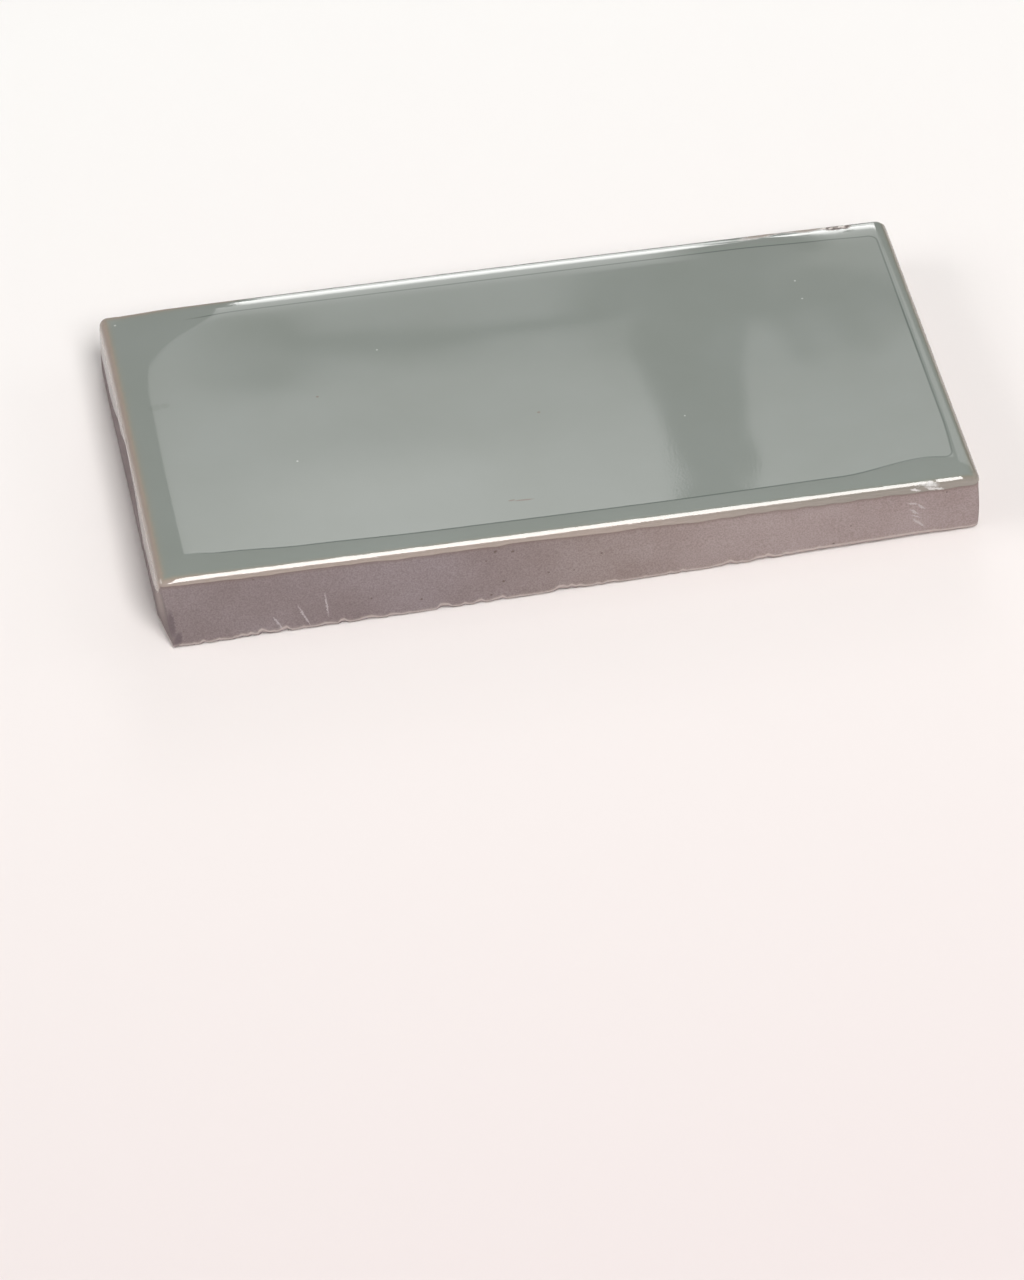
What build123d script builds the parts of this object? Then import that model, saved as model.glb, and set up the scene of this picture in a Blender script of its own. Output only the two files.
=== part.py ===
"""Hand-pressed ceramic brick tile, 150 x 75 mm: one fired piece of clay, glazed on its face.

Millimetres. X runs along the tile, Y across it, Z up from the bed, the flat back that goes
to the wall. The origin is the middle of the bed.
"""

import os
from math import copysign, pi, sin

from build123d import *

# The face, corner to corner
FACE_LENGTH = 150.0
FACE_WIDTH = 75.0

# Height of the face's edge over the bed at three corners; the face is flat, so the fourth follows
FRONT_LEFT_HEIGHT = 15.0
FRONT_RIGHT_HEIGHT = 13.0
BACK_LEFT_HEIGHT = 13.5

# How far the bed stands out past the face at its corners, where soft clay was squeezed at the
# mould's foot: past the two ends, and past the two long sides. The order is front left,
# front right, back right, back left
END_SPREADS = (0.0, 0.7, 0.3, 0.7)
SIDE_SPREADS = (2.2, 0.2, 0.4, 0.4)

# The long sides bow out by this much at the middle of the tile
SIDE_BOW = 0.4

# The walls belly out by this much halfway up
WALL_BELLY = 0.3

# Upright corners, at the bed in the same order, and at the face
BED_CORNER_RADII = (1.2, 1.6, 2.5, 2.5)
FACE_CORNER_RADIUS = 1.5

# The foot of the front left corner was pressed flat before firing. The facet runs this far
# along the front and along the left end at the bed, and dies out at the face
FACET_ALONG_FRONT = 1.7
FACET_ALONG_END = 8.5

# Glaze draws back from the edge as it melts, so the face rolls off round a raised field.
# The roll is a quarter of a sine wave, so that it meets the field with no crease
ROLL_WIDTH = 4.5
ROLL_DROP = 0.5
ROLL_STEPS = 4
FIELD_CORNER_RADIUS = 6.0

# Rounded arris between the face and the walls, and the tighter one round the bed
FACE_ARRIS_RADIUS = 1.4
BED_ARRIS_RADIUS = 0.5

# The bed reaches further to the front than to the back, and this centres the whole
SHIFT_Y = (SIDE_SPREADS[0] - SIDE_SPREADS[3] - SIDE_BOW) / 2


def level_plane(share: float, lift: float = 0.0) -> Plane:
    """The plane at a share of the height: level at the bed, tilted as the face is at the top."""
    rise_x = (FRONT_RIGHT_HEIGHT - FRONT_LEFT_HEIGHT) / FACE_LENGTH
    rise_y = (BACK_LEFT_HEIGHT - FRONT_LEFT_HEIGHT) / FACE_WIDTH
    middle_height = (FRONT_RIGHT_HEIGHT + BACK_LEFT_HEIGHT) / 2
    return Plane(
        origin=(0, 0, share * middle_height + lift),
        x_dir=(1, 0, share * rise_x),
        z_dir=(-share * rise_x, -share * rise_y, 1),
    )


def wall_corners(share: float) -> list[tuple[float, float]]:
    """Square corners of the outline at a share of the height, front left first."""
    spread = 1 - share
    belly = 4 * WALL_BELLY * share * spread
    ways = ((-1, -1), (1, -1), (1, 1), (-1, 1))
    return [
        (
            way_x * (FACE_LENGTH / 2 + spread * past_end + belly),
            SHIFT_Y + way_y * (FACE_WIDTH / 2 + spread * past_side + belly),
        )
        for (way_x, way_y), past_end, past_side in zip(ways, END_SPREADS, SIDE_SPREADS)
    ]


def facet_plane() -> Plane:
    """The plane of the pressed foot, facing out, through two points of the bed and one of the face."""
    foot_x, foot_y = wall_corners(0.0)[0]
    head_x, head_y = wall_corners(1.0)[0]
    on_end = Vector(foot_x, foot_y + FACET_ALONG_END, 0)
    on_front = Vector(foot_x + FACET_ALONG_FRONT, foot_y, 0)
    head = Vector(head_x, head_y, FRONT_LEFT_HEIGHT)
    return Plane(origin=on_end, x_dir=on_front - on_end, z_dir=(on_front - on_end).cross(head - on_end))


def tile_outline(corners: list[tuple[float, float]], radii: list[float]) -> Sketch:
    """Four corners joined by two bowed long sides and two straight ends, then rounded."""
    front_left, front_right, back_right, back_left = corners
    front_middle = (Vector(front_left) + Vector(front_right)) / 2 - Vector(0, SIDE_BOW)
    back_middle = (Vector(back_left) + Vector(back_right)) / 2 + Vector(0, SIDE_BOW)
    with BuildSketch() as outline:
        with BuildLine():
            ThreePointArc(front_left, front_middle, front_right)
            Line(front_right, back_right)
            ThreePointArc(back_right, back_middle, back_left)
            Line(back_left, front_left)
        make_face()
        for corner, radius in zip(corners, radii):
            fillet(outline.vertices().sort_by_distance(corner)[0], radius=radius)
    return outline.sketch


with BuildPart() as brick_tile:
    # Walls: the outline at the bed, halfway up and at the face's edge
    for share in (0.0, 0.5, 1.0):
        radii = [bed + share * (FACE_CORNER_RADIUS - bed) for bed in BED_CORNER_RADII]
        with BuildSketch(level_plane(share)):
            add(tile_outline(wall_corners(share), radii))
    loft()

    # Face: from its edge up the roll-off to the flat field
    for step in range(ROLL_STEPS + 1):
        done = step / ROLL_STEPS
        inset = ROLL_WIDTH * done
        corners = [(x - copysign(inset, x), y - copysign(inset, y)) for x, y in wall_corners(1.0)]
        radius = FACE_CORNER_RADIUS + done * (FIELD_CORNER_RADIUS - FACE_CORNER_RADIUS)
        with BuildSketch(level_plane(1.0, ROLL_DROP * sin(done * pi / 2))):
            add(tile_outline(corners, [radius] * 4))
    loft()

    # Arris where the walls meet the face
    edge_plane = level_plane(1.0)
    face_edges = brick_tile.edges().filter_by(
        lambda edge: all(abs(edge_plane.to_local_coords(edge @ at).Z) < 0.01 for at in (0, 0.5, 1))
    )
    fillet(face_edges, radius=FACE_ARRIS_RADIUS)

    # Pressed foot, then the arris round the bed
    split(bisect_by=facet_plane(), keep=Keep.BOTTOM)
    bed_edges = brick_tile.faces().sort_by(Axis.Z)[0].edges()
    fillet(bed_edges, radius=BED_ARRIS_RADIUS)

brick_tile.part.label = "brick_tile"

os.makedirs("parts", exist_ok=True)
export_step(brick_tile.part, "parts/brick_tile.step")

box = brick_tile.part.bounding_box()
print("volume cm3", round(brick_tile.part.volume / 1000, 2))
print("box mm", [round(side, 2) for side in box.size], "faces", len(brick_tile.faces()))
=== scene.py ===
# %% [markdown]
# # A hand-pressed ceramic brick tile
#
# The tile is one piece of fired clay. Its face carries a glossy sage glaze, which is glass that
# melted over the clay in the kiln. The walls and the back are bare clay. This lesson loads the
# tile's solid as a fixed frame, models its visible surface at real size, finishes it, and lights
# it as on a table in a studio.

# %% Load the frame
from math import acos, atan, cos, degrees, exp, hypot, pi, radians, sin

import bmesh
import bpy
from mathutils import Euler, Matrix, Vector, noise


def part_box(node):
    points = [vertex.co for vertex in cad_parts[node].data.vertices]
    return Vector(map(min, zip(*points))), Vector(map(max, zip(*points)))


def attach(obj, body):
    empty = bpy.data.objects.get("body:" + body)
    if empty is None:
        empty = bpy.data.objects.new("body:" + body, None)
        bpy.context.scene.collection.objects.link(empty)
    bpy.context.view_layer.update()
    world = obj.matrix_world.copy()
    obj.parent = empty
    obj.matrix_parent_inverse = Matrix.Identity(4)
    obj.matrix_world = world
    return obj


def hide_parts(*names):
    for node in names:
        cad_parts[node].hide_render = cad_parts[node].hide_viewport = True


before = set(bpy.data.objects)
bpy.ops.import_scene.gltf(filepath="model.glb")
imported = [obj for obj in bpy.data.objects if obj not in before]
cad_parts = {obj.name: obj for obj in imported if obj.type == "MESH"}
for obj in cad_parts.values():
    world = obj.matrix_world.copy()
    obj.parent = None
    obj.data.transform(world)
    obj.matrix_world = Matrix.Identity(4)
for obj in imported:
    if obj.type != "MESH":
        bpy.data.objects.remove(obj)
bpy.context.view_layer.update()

MM = 0.001

low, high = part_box("brick_tile")
print("solid:", list(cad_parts), "mm:", [round(side / MM, 2) for side in high - low])

# %% [markdown]
# ## Camera
#
# The picture is a product shot from above and a little to the left, with a long lens, so that
# the tile's edges stay nearly parallel. A camera needs a place, a direction and a lens. The
# direction is built from three turns that a photographer would name: how far round, how far
# down, and how much the camera leans. That is easier to read and to change than nine numbers.

# %% Set up the camera
CAMERA_PLACE = Vector((-0.1496, -0.8019, 0.7472))
CAMERA_ROUND = radians(10.241)
CAMERA_DOWN = radians(44.306)
CAMERA_LEAN = radians(-0.893)
LENS_MM = 168.13
SENSOR_MM = 36.0

camera = bpy.data.objects.new("camera", bpy.data.cameras.new("camera"))
camera.data.lens = LENS_MM
camera.data.sensor_width = SENSOR_MM
camera.data.clip_start = 0.05
camera.data.clip_end = 20.0
bpy.context.scene.collection.objects.link(camera)
bpy.context.scene.camera = camera

look = Euler((pi / 2 - CAMERA_DOWN, 0, -CAMERA_ROUND)).to_matrix()
leaned = look @ Matrix.Rotation(CAMERA_LEAN, 3, "Z")
camera.matrix_world = Matrix.Translation(CAMERA_PLACE) @ leaned.to_4x4()
print("camera to tile, m:", round(CAMERA_PLACE.length, 3))

# %% [markdown]
# ## The tile's driving sizes
#
# These are the solid's own sizes, in millimetres. The face is 150 x 75 and lies a little out of
# level, because the clay was pressed thicker at one corner. The walls spread towards the bed and
# belly out a little, the long sides are bowed and the upright corners rounded. The foot of the
# front left corner was pressed flat. The solid gives all of that. What it leaves to this script is
# the surface: the lip where the glaze stops, the slow waves in the glaze, the chipped lower arris,
# pores and scratches.

# %% Sizes in millimetres
FACE_LENGTH = 150.0
FACE_WIDTH = 75.0
FRONT_LEFT_HEIGHT = 15.0
FRONT_RIGHT_HEIGHT = 13.0
BACK_LEFT_HEIGHT = 13.5
# How far the bed stands out past the face: front left, front right, back right, back left
END_SPREADS = (0.0, 0.7, 0.3, 0.7)
SIDE_SPREADS = (2.2, 0.2, 0.4, 0.4)
SIDE_BOW = 0.4
WALL_BELLY = 0.3
# Upright corners, at the bed in the same order, and at the face
BED_CORNER_RADII = (1.2, 1.6, 2.5, 2.5)
FACE_CORNER_RADIUS = 1.5
# The pressed foot at the bed
FACET_ALONG_FRONT = 1.7
FACET_ALONG_END = 8.5
ROLL_DROP = 0.5
BED_ARRIS_RADIUS = 0.5
FRONT, RIGHT, BACK, LEFT = range(4)

shift_y = (SIDE_SPREADS[0] - SIDE_SPREADS[3] - SIDE_BOW) / 2
rise_x = (FRONT_RIGHT_HEIGHT - FRONT_LEFT_HEIGHT) / FACE_LENGTH
rise_y = (BACK_LEFT_HEIGHT - FRONT_LEFT_HEIGHT) / FACE_WIDTH
middle_height = (FRONT_RIGHT_HEIGHT + BACK_LEFT_HEIGHT) / 2


def edge_height(x, y):
    """Height over the bed of the plane that the face's edge lies in."""
    return middle_height + rise_x * x + rise_y * y


print("face tilt, degrees:", round(degrees(hypot(rise_x, rise_y)), 2))

# %% [markdown]
# ## The outline at any height
#
# Each wall is a run between two corners. A point on it is named by its side and by how far along
# it lies, from 0 to 1, and that name stays the same at every height, so the rows of the mesh line
# up from the face down to the bed. Near a corner the point is swung onto an arc. The radius of the
# arc changes with the height, because the lower corners of a pressed tile are the worn ones. At
# the front left, what would stand past the pressed foot is pushed back onto its facet.

# %% Outline of the walls
# A corner that is set in past its own radius stays this sharp
SHARPEST_RADIUS = 0.01
# The facet has died out over this share of the height
FACET_TOP = 0.98


def square_corners(share, inset):
    """Corners at a share of the height before rounding, front left first and front right next."""
    belly = 4 * WALL_BELLY * share * (1 - share)
    ways = ((-1, -1), (1, -1), (1, 1), (-1, 1))
    corners = []
    for (way_x, way_y), past_end, past_side in zip(ways, END_SPREADS, SIDE_SPREADS):
        half_length = FACE_LENGTH / 2 + (1 - share) * past_end + belly - inset
        half_width = FACE_WIDTH / 2 + (1 - share) * past_side + belly - inset
        corners.append(Vector((way_x * half_length, shift_y + way_y * half_width)))
    return corners


def pressed(place, share, inset):
    """The point, or the nearest one behind the facet where the front left foot was pressed flat."""
    head = Vector((-FACE_LENGTH / 2, shift_y - FACE_WIDTH / 2))
    foot = head - Vector((END_SPREADS[0], SIDE_SPREADS[0]))
    on_end = (foot + Vector((0, FACET_ALONG_END))).lerp(head, share)
    on_front = (foot + Vector((FACET_ALONG_FRONT, 0))).lerp(head, share)
    run = (on_front - on_end).normalized()
    out = Vector((run.y, -run.x))
    return place - out * max((place - on_end).dot(out) + inset, 0)


def outline(side, along, share, inset=0.0):
    """A point of the outline, in plan."""
    corners = square_corners(share, inset)
    start, end = corners[side], corners[(side + 1) % 4]
    length = (end - start).length
    run = (end - start) / length
    out = Vector((run.y, -run.x))
    place = start + run * length * along
    for corner, index, reach, turn in (
        (start, side, along * length, 1),
        (end, (side + 1) % 4, (1 - along) * length, -1),
    ):
        radius = BED_CORNER_RADII[index] + share * (FACE_CORNER_RADIUS - BED_CORNER_RADII[index])
        radius = max(radius - inset, SHARPEST_RADIUS)
        if reach < radius:
            angle = (1 - reach / radius) * pi / 4
            centre = corner + run * turn * radius - out * radius
            place = centre + (out * cos(angle) - run * turn * sin(angle)) * radius
    if side in (FRONT, BACK):
        place = place + out * SIDE_BOW * 4 * along * (1 - along)
    return pressed(place, share, inset) if share < FACET_TOP else place


print("front edge at the middle, mm:", [round(c, 2) for c in outline(FRONT, 0.5, 1.0)])

# %% [markdown]
# ## The glazed face
#
# Melted glaze draws back from an edge and stands a little proud in the middle, like water on a
# coin. So the face is a flat field inside a band that rolls off towards the edge. The band is as
# wide as the glaze happened to run: narrow at the right end, wide at the left, wider again at both
# front corners, and cut off in an arc at the back left. Its width is given at a few stations along
# each side and eased between them. Near the foot of the band the glaze pooled in a fine line, whose
# distance from the edge is given in the same way.
#
# On top of that lie soft swells and dents, a few hundredths of a millimetre high, from pressing,
# brushing and firing. They are too low to see as shape, but a gloss surface shows them as bends in
# what it mirrors, and that is what makes hand-made glaze look wet. They are real geometry here.
# Each is a smooth bump with its own reach.

# %% Stations round the face
# How wide the roll-off is
ROLL_WIDTHS = {
    FRONT: ((-75, 7.6), (-62, 5.6), (-48, 4.7), (-25, 4.2), (20, 4.1), (50, 4.4), (66, 6.6), (75, 5.4)),
    RIGHT: ((-37, 4.0), (-20, 3.2), (37, 3.0)),
    BACK: ((-75, 5.6), (-52, 4.3), (-30, 4.4), (25, 4.3), (51, 3.8), (60, 4.3), (66, 4.7), (70, 4.3),
           (75, 4.2)),
    LEFT: ((-37, 6.9), (-20, 6.3), (20, 6.5), (37, 7.5)),
}
# At the back left the field ends in an arc: its centre, its radius and the width of the roll-off
ARC_CENTRE = (-50.5, 15.5)
ARC_RADIUS = 17.0
ARC_ROLL = 9.4
# Where the roll-offs of two sides add up, at a corner, they are held at this share of a width
ROLL_LIMIT = 1.35
# How far inside each edge the glaze pooled in a line
POOL_LINES = {
    FRONT: ((-75, 7.2), (-62, 5.3), (-48, 4.5), (-25, 4.0), (20, 3.9), (50, 4.2), (66, 6.3), (75, 5.1)),
    RIGHT: ((-37, 3.8), (-20, 3.0), (37, 2.8)),
    BACK: ((-75, 6.0), (-59, 4.9), (-50, 4.4), (0, 4.5), (45, 4.4), (62, 4.9), (70, 5.2), (75, 5.2)),
    LEFT: ((-37, 6.5), (37, 6.5)),
}
POOL_CORNER_RADIUS = 1.6


def eased(stations, place):
    """A value at a place between stations, with no corner where they meet."""
    for (start, first), (end, last) in zip(stations, stations[1:]):
        if place <= end:
            share = max(place - start, 0) / (end - start)
            return first + (last - first) * share * share * (3 - 2 * share)
    return stations[-1][1]


def nearest(sides, x, y):
    """Values on the long and the short side that are nearest to a point of the face."""
    long_side = sides[FRONT if y < shift_y else BACK]
    short_side = sides[LEFT if x < 0 else RIGHT]
    return eased(long_side, x), eased(short_side, y)


def insides(x, y):
    """How far a point of the face lies inside the long and the short edge nearest to it."""
    half_length = FACE_LENGTH / 2
    half_width = FACE_WIDTH / 2 + SIDE_BOW * (1 - (x / half_length) ** 2)
    return half_width - abs(y - shift_y), half_length - abs(x)


def rolled(x, y):
    """How far into the roll-off a point lies: 0 in the field, 1 at an edge."""
    from_long, from_short = insides(x, y)
    long_width, short_width = nearest(ROLL_WIDTHS, x, y)
    share = hypot(max(1 - from_long / long_width, 0), max(1 - from_short / short_width, 0))
    away = hypot(min(x - ARC_CENTRE[0], 0), max(y - ARC_CENTRE[1], 0))
    return max(share, (away - ARC_RADIUS) / ARC_ROLL)


def past_pool_line(x, y):
    """How far inside the line of pooled glaze a point lies, negative nearer to the edge."""
    from_long, from_short = insides(x, y)
    long_line, short_line = nearest(POOL_LINES, x, y)
    past_long, past_short = from_long - long_line, from_short - short_line
    away = hypot(max(POOL_CORNER_RADIUS - past_long, 0), max(POOL_CORNER_RADIUS - past_short, 0))
    return POOL_CORNER_RADIUS - away if away > 0 else min(past_long, past_short)


print("roll-off at the front, mm:", round(nearest(ROLL_WIDTHS, 0, -1)[0], 2))

# %% Height of the glaze
# Each swell's place along and across the face, its reach both ways, and its height
SWELLS = (
    (-49.0, 17.5, 9.5, 8.5, -0.016),
    (-33.4, 26.6, 14.1, 9.6, 0.022),
    (5.9, 20.5, 19.8, 5.4, 0.014),
    (27.8, 11.3, 10.6, 16.3, -0.075),
    (43.7, 4.1, 7.5, 10.1, -0.025),
    (27.2, -27.4, 4.5, 7.8, 0.013),
    (39.7, -24.6, 4.8, 5.5, 0.012),
    (53.1, 8.2, 4.7, 14.1, -0.037),
    (64.2, 8.5, 8.7, 15.6, -0.047),
    (59.1, 29.4, 8.0, 6.2, 0.017),
    (-64.8, -11.4, 7.0, 14.0, -0.029),
    (-30.4, -12.9, 27.3, 10.4, 0.075),
)
FIRING_WAVE_LENGTH = 6.0
FIRING_WAVE_HEIGHT = 0.0008
FIRING_WAVE_SEED = 40.0


def waves(x, y):
    """Height that the swells and the fine waves of firing add, in millimetres."""
    ripple = noise.noise(Vector((x, y, FIRING_WAVE_SEED)) / FIRING_WAVE_LENGTH)
    height = FIRING_WAVE_HEIGHT * ripple
    for middle_x, middle_y, reach_x, reach_y, most in SWELLS:
        height += most * exp(-(((x - middle_x) / reach_x) ** 2) - ((y - middle_y) / reach_y) ** 2)
    return height


def face_height(x, y):
    """Height of the glaze over the bed."""
    return edge_height(x, y) + ROLL_DROP * cos(min(rolled(x, y), ROLL_LIMIT) * pi / 2) + waves(x, y)


print("face height at the middle, mm:", round(face_height(0, 0), 2))

# %% [markdown]
# ## The sheet
#
# The face starts as a grid that a bmesh operator makes. Its points are then pulled to their
# places, with columns and rows closer together towards the corners, where the outline turns. Its
# border stops just inside the edge, where the arris starts.
#
# Each point also carries numbers for the finishes to read. One says how thin the glaze is, from 0
# to 1: it is thin along every edge, over a wider strip at the left end and the back left corner.
# Another says how far the point lies past the line of pooled glaze. Numbers on the points follow
# the shape exactly, which a pattern in space could not.

# %% Lay the sheet
COLUMNS = 300
ROWS = 150
SHEET_INSET = 1.18
# How strongly columns and rows crowd together towards the corners, from 0 to 1
CROWDING = 0.6
ON_BORDER = 1e-5
# How far inside each edge the glaze is thin, at stations along it
THIN_WIDTHS = {
    FRONT: ((-75, 1.1), (-60, 0.8), (75, 0.75)),
    RIGHT: ((-37, 1.3), (-20, 1.0), (37, 1.0)),
    BACK: ((-75, 1.6), (-52, 1.4), (-45, 0.6), (75, 0.5)),
    LEFT: ((-37, 1.45), (37, 1.45)),
}


def crowded(share):
    """A share of a side, moved so that its neighbours are closer together near both corners."""
    return share - CROWDING * sin(2 * pi * share) / (2 * pi)


def named(along_x, along_y):
    """The side of a border point and how far along it lies, counted the way the outline runs."""
    if along_y < ON_BORDER:
        return FRONT, along_x
    if along_x > 1 - ON_BORDER:
        return RIGHT, along_y
    if along_y > 1 - ON_BORDER:
        return BACK, 1 - along_x
    return LEFT, 1 - along_y


def thinness(x, y):
    """How thin the glaze is, from 0 in the field to 1 at an edge."""
    from_long, from_short = insides(x, y)
    long_width, short_width = nearest(THIN_WIDTHS, x, y)
    return max(exp(-((from_long / long_width) ** 2)), exp(-((from_short / short_width) ** 2)))


tile = bmesh.new()
bmesh.ops.create_grid(tile, x_segments=COLUMNS, y_segments=ROWS, size=0.5)
side_of = tile.verts.layers.int.new("side")
along_of = tile.verts.layers.float.new("along")
thin_of = tile.verts.layers.float.new("glaze_thinness")
line_of = tile.verts.layers.float.new("past_pool_line")
# Wear on the lower rim, partly a painted highlight where the broken edge catches light
wear_and_highlight_of = tile.verts.layers.float.new("edge_wear_and_highlight")

inner = square_corners(1.0, SHEET_INSET)
for vert in tile.verts:
    along_x, along_y = crowded(vert.co.x + 0.5), crowded(vert.co.y + 0.5)
    if vert.is_boundary:
        vert[side_of], vert[along_of] = named(along_x, along_y)
        place = outline(vert[side_of], vert[along_of], 1.0, SHEET_INSET)
    else:
        bow = SIDE_BOW * 4 * along_x * (1 - along_x) * (2 * along_y - 1)
        place = Vector((
            inner[0].x + (inner[1].x - inner[0].x) * along_x,
            inner[0].y + (inner[3].y - inner[0].y) * along_y + bow,
        ))
    vert.co = (place.x, place.y, face_height(place.x, place.y))
    vert[thin_of] = thinness(place.x, place.y)
    vert[line_of] = past_pool_line(place.x, place.y)
print("sheet:", len(tile.faces), "faces")

# %% [markdown]
# ## Lip, clay and chips
#
# The glaze doesn't stop at a level. It was wiped off along the front, so its lip is shallow there,
# and it ran down the left end in two broad drips. The lip ends in a step as high as the glaze is
# thick, about a tenth of a millimetre.
#
# The lower arris broke as the clay left its mould, in small teeth and wider bites. They run along
# most of the front and fade towards its right end, where the arris is rubbed round instead. The
# bare wall keeps the unevenness of the mould. Each of these is a rule that gives a size at a
# place, built from noise, whose seeds are fixed, so that every run makes the same tile.

# %% Rules for the lip, the clay and the chips
GLAZE_THICKNESS = 0.12
# How far below the face's edge the glaze stops, at stations along each side
LIP_DEPTHS = {
    FRONT: ((-75, 1.15), (-20, 1.35), (10, 1.45), (25, 1.75), (75, 1.85)),
    RIGHT: ((-37, 1.8), (37, 1.6)),
    BACK: ((-75, 1.6), (75, 1.6)),
    LEFT: ((-37, 1.15), (-34, 4.2), (-30, 5.5), (-18, 6.5), (-8, 3.2), (2, 1.8), (10, 3.6), (22, 6.5),
           (33, 6.0), (38, 1.8)),
}
# How far the lower front arris is rubbed back, at stations along it, and how far the others are
FRONT_RUBBED = ((-75, 0.0), (-20, 0.05), (25, 0.1), (47, 0.75), (63, 0.9), (71, 0.4), (75, 0.3))
OTHER_RUBBED = 0.1
# How chipped the lower front arris is, at stations along it, and how chipped the others are
FRONT_CHIPPING = ((-75, 0.5), (-58, 1.0), (32, 1.0), (48, 0.25), (75, 0.2))
OTHER_CHIPPING = 0.7
# Each noise has a height, a length and a seed, the first two in millimetres
LIP_NOISES = ((0.2, 14.0, 11.3), (0.3, 3.6, 5.1))
CLAY_NOISES = ((0.10, 11.0, 1.4), (0.03, 1.9, 8.2))
ARRIS_NOISE = (0.04, 2.6, 3.3)
# Teeth, then bites: where a noise is over its level, the arris breaks, deeper the more it is over
BREAK_NOISES = ((1.5, 1.3, 7.7, 0.06), (1.0, 4.0, 2.9, 0.12))


def wander(x, y, z, length, seed):
    """Even noise from -1 to 1 that changes over a length in millimetres."""
    return noise.noise(Vector((x / length + seed, y / length, z / length)))


def lip_depth(side, x, y):
    """How far below the face's edge the glaze stops."""
    depth = eased(LIP_DEPTHS[side], x if side in (FRONT, BACK) else y)
    return depth + sum(height * wander(x, y, 0, length, seed) for height, length, seed in LIP_NOISES)


def broken_back(side, x, y):
    """How far the lower arris is chipped and rubbed back."""
    chipped = sum(
        max(wander(x, y, 0, length, seed) - level, 0) * height
        for height, length, seed, level in BREAK_NOISES
    )
    if side == FRONT:
        return chipped * eased(FRONT_CHIPPING, x) + eased(FRONT_RUBBED, x)
    return chipped * OTHER_CHIPPING + OTHER_RUBBED


def clay_relief(x, y, z):
    """Unevenness of the clay wall, always inwards."""
    return sum(height * (1 + wander(x, y, z, length, seed)) for height, length, seed in CLAY_NOISES)


print("lip at the middle of the front, mm:", round(lip_depth(FRONT, 0, 0), 2))

# %% [markdown]
# ## Arris and walls
#
# The rest of the tile hangs from the sheet's border. The border is extruded row by row: round the
# arris, down to the lip, over the lip onto bare clay, down the wall, round the lower arris and in
# under the tile. The walls could be faces of a box that is bevelled and cut, but then the waving
# lip would have to be cut through them. Extruding keeps every row tied to the one above, so the
# mesh stays closed, and each kind of row needs only a short rule for where its points go. A rule
# also says how thin the glaze is there, and how worn the clay. On the clay, the thin glaze stands
# for the dark seam under the lip, partly painted shadow, and the wear for a pale rim along the lower
# arris, partly a painted highlight.
#
# The arris starts with the slope that the sheet has at its border, so no crease shows between
# them. It is a few hundredths of a millimetre uneven, which makes its highlight waver.

# %% What hangs from a point of the border
# The sheet's slope at its border is measured over this distance
SLOPE_STEP = 0.1
# The arris ends this far over the lip, or sooner if it is upright by then
ARRIS_OVER_LIP = 0.16
# The step at the lip starts this far over the lip's level and ends this far under it
LIP_RISE = 0.08
LIP_FALL = 0.12
# The glazed wall over the lip ends this far over it
GLAZED_OVER_LIP = 0.12


class BorderPoint:
    """A point of the sheet's border, with what all the rows that hang from it share."""

    def __init__(self, side, along):
        self.side, self.along = side, along
        self.top = outline(side, along, 1.0)
        self.height = edge_height(*self.top)
        self.lip = lip_depth(side, *self.top)
        self.low_radius = BED_ARRIS_RADIUS + broken_back(side, *self.top)

        border = outline(side, along, 1.0, SHEET_INSET)
        within = outline(side, along, 1.0, SHEET_INSET + SLOPE_STEP)
        rise = face_height(*within) - face_height(*border)
        flat_rise = edge_height(*within) - edge_height(*border)
        self.first_angle = atan((rise - flat_rise) / (within - border).length)
        self.radius = SHEET_INSET / (1 - sin(self.first_angle))
        self.centre = face_height(*border) - self.radius * cos(self.first_angle)
        upright = (self.height - self.lip + ARRIS_OVER_LIP - self.centre) / self.radius
        self.last_angle = acos(min(max(upright, 0), 1))

    def on_wall(self, depth, inset):
        """A point of the wall at a depth below the face's edge."""
        share = 1 - depth / self.height
        return outline(self.side, self.along, share, inset).to_3d() + Vector((0, 0, self.height * share))


sample = BorderPoint(FRONT, 0.5)
print("arris radius, mm:", round(sample.radius, 2), "lower:", round(sample.low_radius, 2))

# %% A rule for each kind of row
# Relief grows from nothing at the lip to its full depth over this share of the wall
RELIEF_START = 1 / 6
# The dark seam in the clay under the lip, partly painted shadow of the glaze's step, fades over this
# distance
SEAM_AND_SHADOW_WIDTH = 0.45
# The pale rim, partly wear and partly a painted highlight, starts at this share of the wall and ends at
# this share of the lower arris
RIM_START = 0.97
RIM_END = 0.4
# The last row lies this far in under the tile
BED_BORDER = 1.5


def arris_row(point, step):
    """Round the arris. Each rule gives a place, how thin the glaze is and how worn the clay."""
    height, length, seed = ARRIS_NOISE
    angle = point.first_angle + (point.last_angle - point.first_angle) * step
    relief = height * (1 + wander(*point.top, 0, length, seed)) * sin(pi * step) ** 2
    raised = point.centre + (point.radius - relief) * cos(angle)
    inset = point.radius * (1 - sin(angle)) + relief * sin(angle)
    plan = outline(point.side, point.along, min(raised / point.height, 1), inset)
    return Vector((plan.x, plan.y, raised)), thinness(plan.x, plan.y), 0.0


def glazed_wall_row(point, step):
    """Down the glazed wall to the lip."""
    first = point.height - point.centre - point.radius * cos(point.last_angle)
    inset = point.radius * (1 - sin(point.last_angle))
    depth = first + (point.lip - GLAZED_OVER_LIP - first) * step
    return point.on_wall(depth, inset), 1.0, 0.0


def lip_row(point, step):
    """Over the lip, in by the thickness of the glaze."""
    inset = GLAZE_THICKNESS / 2 * (1 - cos(pi * step))
    inset = max(inset, point.radius * (1 - sin(point.last_angle)))
    depth = point.lip - LIP_RISE + (LIP_RISE + LIP_FALL) * step
    return point.on_wall(depth, inset), 1.0, 0.0


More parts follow.
